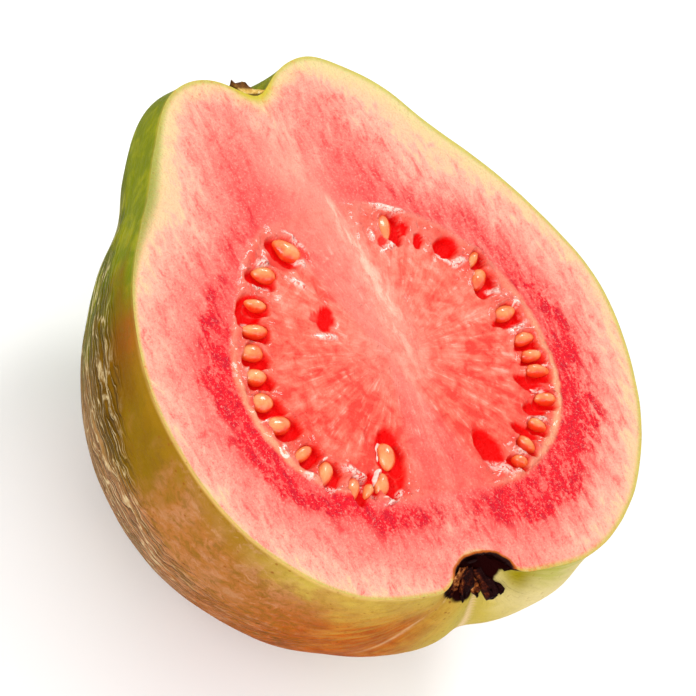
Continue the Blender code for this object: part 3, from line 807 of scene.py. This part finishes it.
def makeBody():
    rings, faceRings = bodyMesh["rings"], bodyMesh["faceRings"]
    bm = bmesh.new()
    bmesh.ops.create_grid(bm, x_segments=bodyMesh["segments"], y_segments=rings, size=1.0)
    for vert in bm.verts:
        turn, tilt = vert.co.x * pi, (vert.co.y + 1) * pi / 2
        vert.co = (sin(tilt) * cos(turn), sin(tilt) * sin(turn), -cos(tilt))
    bmesh.ops.remove_doubles(bm, verts=bm.verts, dist=1e-5)
    piece = pieceFrom(bm, "guavaHalf")
    mesh = piece.data
    co = np.zeros(len(mesh.vertices) * 3)
    mesh.vertices.foreach_get("co", co)
    co = co.reshape(-1, 3)
    ring = np.rint(np.arccos(np.clip(co[:, 2], -1, 1)) / pi * rings)
    angle = np.arctan2(co[:, 1], co[:, 0])
    onFace = ring <= faceRings

    # directions: level on the face's rim, then down round the skin to the resting spot
    fall = np.clip((ring - faceRings) / (rings - faceRings), 0, 1)
    fall = (0.35 * fall + 0.65 * fall ** 1.6) * pi / 2
    heading = np.stack([np.cos(angle) * np.cos(fall), np.sin(angle) * np.cos(fall), -np.sin(fall)], -1)
    station = np.arccos(np.clip(heading[:, 1], -1, 1))
    azimuth = np.arctan2(np.maximum(-heading[:, 2], 0), heading[:, 0])
    radius = skinRadius(station, azimuth)
    lumps = noiseAt(heading, 3.2, 1.0) * bodyMesh["lump"]
    lumps += noiseAt(heading, 9.0, 5.0) * bodyMesh["ripple"]
    fromStem = np.degrees(station)
    radius = radius + lumps * blendStep(4, 16, fromStem) * blendStep(176, 160, fromStem)
    skin = heading * radius[:, None]
    skin[:, 1] += fruit["centreY"]
    skin[:, 2] = np.maximum(skin[:, 2], -cutHeight / mm)

    share = np.interp(ring, *bodyMesh["ringShares"])
    face = np.stack([np.cos(angle) * radius * share, np.sin(angle) * radius * share], -1)
    face[:, 1] += fruit["centreY"]
    x, y = face[:, 0], face[:, 1]
    flatPoints = np.stack([x, y, np.zeros_like(x)], -1)
    relief, wall, arc, hollow, gleam, juice = faceRelief(x, y, flatPoints)
    rimDepth = radius * (1 - share)
    relief = np.where(rimDepth < 0.4, -0.12 * (1 - rimDepth / 0.4) ** 2, relief)
    relief = relief * blendStep(0.0, 0.3, rimDepth)

    points = np.where(onFace[:, None], np.stack([x, y, relief], -1), skin)

    # where the deep red, the pale shoulders and the core lie
    around = np.degrees(np.arctan2(y - cavity["centre"][1], x - cavity["centre"][0])) % 360

    def near(direction, spread):
        return bell((around - direction + 180) % 360 - 180, spread)

    def marked(name):
        return sum(weight * near(direction, spread) for weight, direction, spread in faceMarks[name])

    sides = np.clip(marked("sides"), 0, 1)
    ragged = wall + 2.0 * noiseAt(flatPoints, 0.17, 3.0) + 1.3 * noiseAt(flatPoints, 0.45, 7.0)
    redness = 1.7 * bell(ragged + 3.0 + marked("redShift"), 2.35 + marked("redWidth"))
    redness *= 0.26 + 0.74 * sides
    for weight, direction, spread in faceMarks["redder"]:
        redness *= 1 + weight * near(direction, spread)
    neckBand = bell(np.abs(x - 1) - (10.0 + 0.06 * (y - 20)), 3.0)
    neckBand *= blendStep(14, 24, y) * blendStep(41, 34, y)
    redness = np.clip(np.maximum(redness, 0.24 * neckBand), 0, 1.5) * blendStep(0.6, -0.4, wall)
    paleness = marked("paleness")
    for weight, at, spread, *ends in palePatches:
        paleness += weight * bell(x - at, spread) * blendStep(*ends[:2], y) * blendStep(*ends[2:], y)
    glow = 0.10 * blendStep(-8, 6, y) - 0.06
    for weight, cx, cy, spread in redderPulp:
        glow -= weight * bell(np.hypot(x - cx, y - cy), spread)
    coreX = 5.0 - 0.006 * (y - 2) ** 2
    core = 0.7 * bell(x - coreX + 2.0, 5.0 + 1.6 * bell(y + 2, 10)) * blendStep(42, 22, y)
    core *= blendStep(-26, -4, y) * blendStep(-16, 2, y + 12 * blendStep(0, 24, y)) ** 0.5
    streak = bell(x - coreX - 0.5, 1.0 + 0.06 * np.clip(20 - y, 0, 30))
    streak *= blendStep(25, 19, y) * blendStep(-14, 4, y)
    lower = bell(x - coreX + 0.6, 1.8) * blendStep(4, -2, y) * blendStep(-24, -12, y)
    streak = np.maximum(0.95 * streak, 0.35 * lower)
    turn = np.degrees(azimuth)
    # the crater and its mouth on the cut face are painted brown to near-black: dry tissue at the rim,
    # painted shade in the pit
    limit = np.interp(turn, *skinMarks["craterRim"])
    crater = blendStep(limit - 0.8, limit + 0.5, fromStem + 1.3 * lumps)
    mouthX, mouthY, mouthWide, mouthLong, mouthDeep = skinMarks["craterMouth"]
    mouth = np.hypot((x - mouthX) / mouthWide, (y - mouthY) / mouthLong)
    mouth += 0.05 * noiseAt(flatPoints, 0.9, 8.0)
    fringe = np.maximum(0.6 * blendStep(1.16, 1.02, mouth), blendStep(1.04, 0.97, mouth))
    points[:, 2] -= np.where(onFace, mouthDeep * blendStep(1.0, 0.84, mouth), 0)
    mesh.vertices.foreach_set("co", toFrame(points).ravel())
    stemEdge = 0.85 * blendStep(6.5, 3.0, fromStem) * blendStep(2.1, 0.2, rimDepth)

    # where the skin is wrinkled, blushed, spotted and creased
    bound = np.interp(fromStem, *skinMarks["wrinkleTop"])
    wrinkle = blendStep(bound + 7, bound - 7, turn) * blendStep(20, 50, fromStem)
    wrinkle *= blendStep(45, 105, turn) * blendStep(152, 128, fromStem)
    wrinkle *= (0.28 + 0.72 * blendStep(124, 96, fromStem)) * (0.42 + 0.58 * blendStep(98, 138, turn))

    def patch(name):
        weight, at, wide, stationAt, long = skinMarks[name]
        return weight * bell(turn - at, wide) * bell(fromStem - stationAt, long)

    blush = patch("blush") + 0.5 * blendStep(14, 30, -skin[:, 2]) * bell(fromStem - 120, 26)
    spot = bell(np.hypot(skin[:, 1] - 8, skin[:, 2] + 3.5), 4.0) * (skin[:, 0] < 0)
    valley = bell(turn - 66, 1.5) * blendStep(138, 150, fromStem)
    valley += 0.6 * bell(turn - 110, 1.0) * blendStep(140, 160, fromStem)

    marks = {
        "wallDepth": np.where(onFace, wall, -20), "arc": arc, "glow": glow,
        "greenRim": np.clip(marked("greenRim"), 0, 1), "rimDark": marked("rimDark"),
        "rimWidth": 1.0 + marked("rimWidth"), "wallTone": arc * (0.12 + marked("wallTone")),
        "stemEdge": stemEdge, "dryRimAndPitShade": np.where(onFace, fringe, crater),
        "station": fromStem, "turn": turn, "below": -points[:, 2], "spot": 0.8 * spot,
        "deepGreen": patch("deepGreen"), "fresh": patch("fresh"),
    }
    onlyFace = {
        "rimDepth": rimDepth, "juice": juice, "hollow": hollow, "gleam": gleam,
        "redness": redness, "paleness": paleness, "core": core, "streak": streak,
    }
    onlySkin = {
        "wrinkle": wrinkle, "blush": np.clip(blush, 0, 1),
        "crease": 0.8 * valley * blendStep(172, 169, fromStem),
    }
    marks.update({name: np.where(onFace, values, 0) for name, values in onlyFace.items()})
    marks.update({name: np.where(onFace, 0, values) for name, values in onlySkin.items()})
    for name, values in marks.items():
        setAttribute(mesh, name, values)
    flow = np.stack([azimuth * 17, fromStem * 0.10, 0 * turn], -1)
    setAttribute(mesh, "flow", flow, "FLOAT_VECTOR", "vector")

    mesh.materials.append(fleshMaterial)
    mesh.materials.append(skinMaterial)
    corner = np.zeros(len(mesh.loops), np.int32)
    mesh.loops.foreach_get("vertex_index", corner)
    starts = np.zeros(len(mesh.polygons), np.int32)
    mesh.polygons.foreach_get("loop_start", starts)
    outermost = np.maximum.reduceat(ring[corner], starts)
    mesh.polygons.foreach_set("material_index", (outermost > faceRings).astype(np.int32))
    mesh.update()
    return finishPiece(piece, None, "flesh", "guava_half")


makeBody()
print("half made")


# radius up the stalk, in mm, and how far its broken end leans
stalk = {
    "heights": (0.0, 0.5, 0.9, 1.5, 2.1), "radii": (2.2, 2.0, 1.25, 1.20, 1.35),
    "offsets": (0.7, 0.5, -0.5, -0.9, -1.2), "rough": 0.25, "drop": 0.35,
}


# half of the stalk's dry end, its cut side level with the cut face
def makeStub():
    low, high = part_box("stem_stub")
    centre = (low + high) / 2
    tall = stalk["heights"][-1]
    bm = bmesh.new()
    bmesh.ops.create_cone(bm, cap_ends=True, segments=32, radius1=1, radius2=1, depth=1)
    bmesh.ops.subdivide_edges(bm, edges=bm.edges[:], cuts=8, use_grid_fill=True)
    cuts = []
    for vert in bm.verts:
        x, y, z = vert.co
        height = (z + 0.5) * tall
        rough = 1 + stalk["rough"] * noiseOf(x * 2.2, y * 2.2, height * 0.8)
        radius = float(np.interp(height, stalk["heights"], stalk["radii"])) * rough
        ragged = blendStep(0.5, 1.0, height / tall) * noiseOf(x * 1.6 + 5, y * 1.6, 0)
        across = x * radius + float(np.interp(height, stalk["heights"], stalk["offsets"]))
        level = max(y * radius, 0.10 * noiseOf(x * 2.5, 0, height * 2.5))
        vert.co = (across, level, height + 0.8 * ragged - 0.25 * x)
        cuts.append(blendStep(0.30, 0.05, level) * blendStep(1.25, 0.7, height + 0.5 * ragged))
    bmesh.ops.rotate(bm, verts=bm.verts, matrix=Matrix.Rotation(-pi / 2, 3, "X"))
    base = low.y - stalk["drop"] * mm
    for vert in bm.verts:
        x, y, z = vert.co
        vert.co = (centre.x + x * mm, base + y * mm, cutHeight + (z - 0.08) * mm)
    piece = pieceFrom(bm, "stalkStub")
    setAttribute(piece.data, "cut", cuts)
    return finishPiece(piece, stalkMaterial, "stem_wood", "stem_stub")


# each dry leaf's tone, thickness and spine: angle from the stem, turn, lift and half width in mm
sepals = {
    "sepal_left": (0.50, 0.5, (
        (175.5, 98, 0.1, 0.9), (173.6, 105, 0.6, 1.3), (172.2, 113, 0.7, 1.7), (170.8, 119, 0.3, 1.5))),
    "sepal_middle": (0.12, 0.5, (
        (175.0, 80, 0.1, 0.9), (173.2, 82, 0.5, 1.2), (171.8, 84, 0.5, 1.1), (170.4, 85, 0.2, 0.6))),
    "sepal_small": (0.46, 0.4, (
        (174.0, 64, 0.1, 0.7), (171.8, 64, 0.4, 0.9), (169.8, 64, 0.4, 0.7), (168.4, 63, 0.2, 0.2))),
    "sepal_right": (-0.02, 1.0, (
        (174.4, 53, 0.1, 0.6), (172.9, 49, 0.3, 0.5), (171.8, 44, 0.6, 1.0), (171.2, 41, 0.8, 1.3),
        (170.7, 39, 0.5, 1.1))),
}
sepalLook = {"cup": 0.35, "crinkle": 0.45, "fold": 0.30, "fray": 0.35, "wave": 0.03}
# the calyx floor's tone is near-black: dark dry tissue with painted shade at the bottom of the crater
discLook = {"share": 0.22, "rough": 0.25, "rise": 0.8, "tone": -0.4}


def makeSepal(name, tone, thickness, spine):
    bm = bmesh.new()
    bmesh.ops.create_grid(bm, x_segments=14, y_segments=26, size=1.0)
    steps = np.linspace(0, 1, len(spine))
    tones = []
    for vert in bm.verts:
        v, u = vert.co.x, (vert.co.y + 1) / 2
        station, azimuth, lift, half = (np.interp(u, steps, column) for column in zip(*spine))
        half *= 1 - 0.5 * blendStep(0.75, 1.0, u)
        station, azimuth = radians(station), radians(azimuth)
        outward = np.array([cos(azimuth), 0, -sin(azimuth)])
        across = np.cross(outward, (0, -1, 0))
        lift += sepalLook["cup"] * v * v * u
        lift += sepalLook["crinkle"] * noiseOf(v * 1.8 + tone * 90, u * 3.4, 0.5) * (0.3 + u)
        lift += sepalLook["fold"] * noiseOf(v * 4.0, u * 6.0, tone * 90) * (0.4 + u)
        fray = sepalLook["fray"] * noiseOf(tone * 70 + v, u * 5.0, 3.5)
        station -= sepalLook["wave"] * noiseOf(v * 3.0, tone * 50, 1.5) * u
        vert.co = skinPoints(np.array(station), np.array(azimuth), lift) + across * v * half * (1 + fray)
        pale = blendStep(0.3, 0.9, v) * blendStep(1.0, 0.4, u)
        tones.append(tone - 0.40 * blendStep(0.6, 1.0, u) + 0.30 * pale)
    bmesh.ops.solidify(bm, geom=bm.faces[:], thickness=thickness)
    moveToFrame(bm)
    piece = pieceFrom(bm, name.replace("sepal_", "calyxLeaf_"))
    setAttribute(piece.data, "tone", np.resize(tones, len(piece.data.vertices)))
    return finishPiece(piece, calyxMaterial, "calyx_brown", name)


def makeDisc():
    low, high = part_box("calyx_disc")
    centre = (low + high) / 2
    half = (high - low) * discLook["share"]
    rise = Vector((0, discLook["rise"] * mm, 0))
    bm = bmesh.new()
    bmesh.ops.create_uvsphere(bm, u_segments=40, v_segments=24, radius=1.0)
    for vert in bm.verts:
        rough = 1 + discLook["rough"] * noise.noise(vert.co * 3.0)
        vert.co = centre + Vector([c * h * rough for c, h in zip(vert.co, half)]) + rise
    piece = pieceFrom(bm, "calyxFloor")
    setAttribute(piece.data, "tone", np.full(len(piece.data.vertices), discLook["tone"]))
    return finishPiece(piece, calyxMaterial, "calyx_brown", "calyx_disc")


makeStub()
makeDisc()
for name, values in sepals.items():
    makeSepal(name, *values)
print("stalk and calyx made")


# lamps: place, size and power
studio = {
    "aim": (-4.76, -2.0), "azimuth": 202.9, "elevation": 47.0, "upHeading": 61.7,
    "distance": 0.80, "lens": 289.7, "floor": (0.95, 0.95, 0.95), "world": 0.84,
    "lamps": {
        "key": ((0.36, 0.42, 0.75), (0.24, 0.24), 3.0),
        "fill": ((-0.70, -0.10, 0.45), (0.6, 0.5), 4.5),
        "front": ((0.05, -0.75, 0.40), (0.6, 0.5), 1.0),
    },
    "lampAim": (0, 0, 0.03),
}


def towards(azimuth, elevation=0):
    turn, tilt = radians(azimuth), radians(elevation)
    return Vector((cos(turn) * cos(tilt), sin(turn) * cos(tilt), sin(tilt)))


def makeCamera():
    back = towards(studio["azimuth"], studio["elevation"])
    right = towards(studio["upHeading"]).cross(back).normalized()
    aim = Vector(toFrame(np.array([*studio["aim"], 0.0])))
    data = bpy.data.cameras.new("camera")
    data.lens = studio["lens"]
    data.clip_end = 20
    camera = newObject("camera", data)
    turn = Matrix((right, back.cross(right), back)).transposed().to_4x4()
    camera.matrix_world = Matrix.Translation(aim + back * studio["distance"]) @ turn
    bpy.context.scene.camera = camera


def makeFloor():
    bm = bmesh.new()
    bmesh.ops.create_grid(bm, x_segments=1, y_segments=1, size=3.0)
    floor = pieceFrom(bm, "floor")
    material, s, inputs = newMaterial("paleFloor", 0.8, Base_Color=(*studio["floor"], 1))
    floor.data.materials.append(material)


def makeLamp(name, place, size, power):
    data = bpy.data.lights.new(name, "AREA")
    data.shape = "RECTANGLE"
    data.size, data.size_y = size
    data.energy = power
    lamp = newObject(name, data)
    lamp.location = place
    aim = Vector(studio["lampAim"]) - Vector(place)
    lamp.rotation_euler = aim.to_track_quat("-Z", "Y").to_euler()


makeCamera()
makeFloor()
for name, values in studio["lamps"].items():
    makeLamp(name, *values)
world = bpy.data.worlds.new("studio")
world.use_nodes = True
background = world.node_tree.nodes["Background"].inputs
background["Color"].default_value = (1, 1, 1, 1)
background["Strength"].default_value = studio["world"]
bpy.context.scene.world = world
bpy.context.scene.view_settings.view_transform = "Standard"
print("studio made")
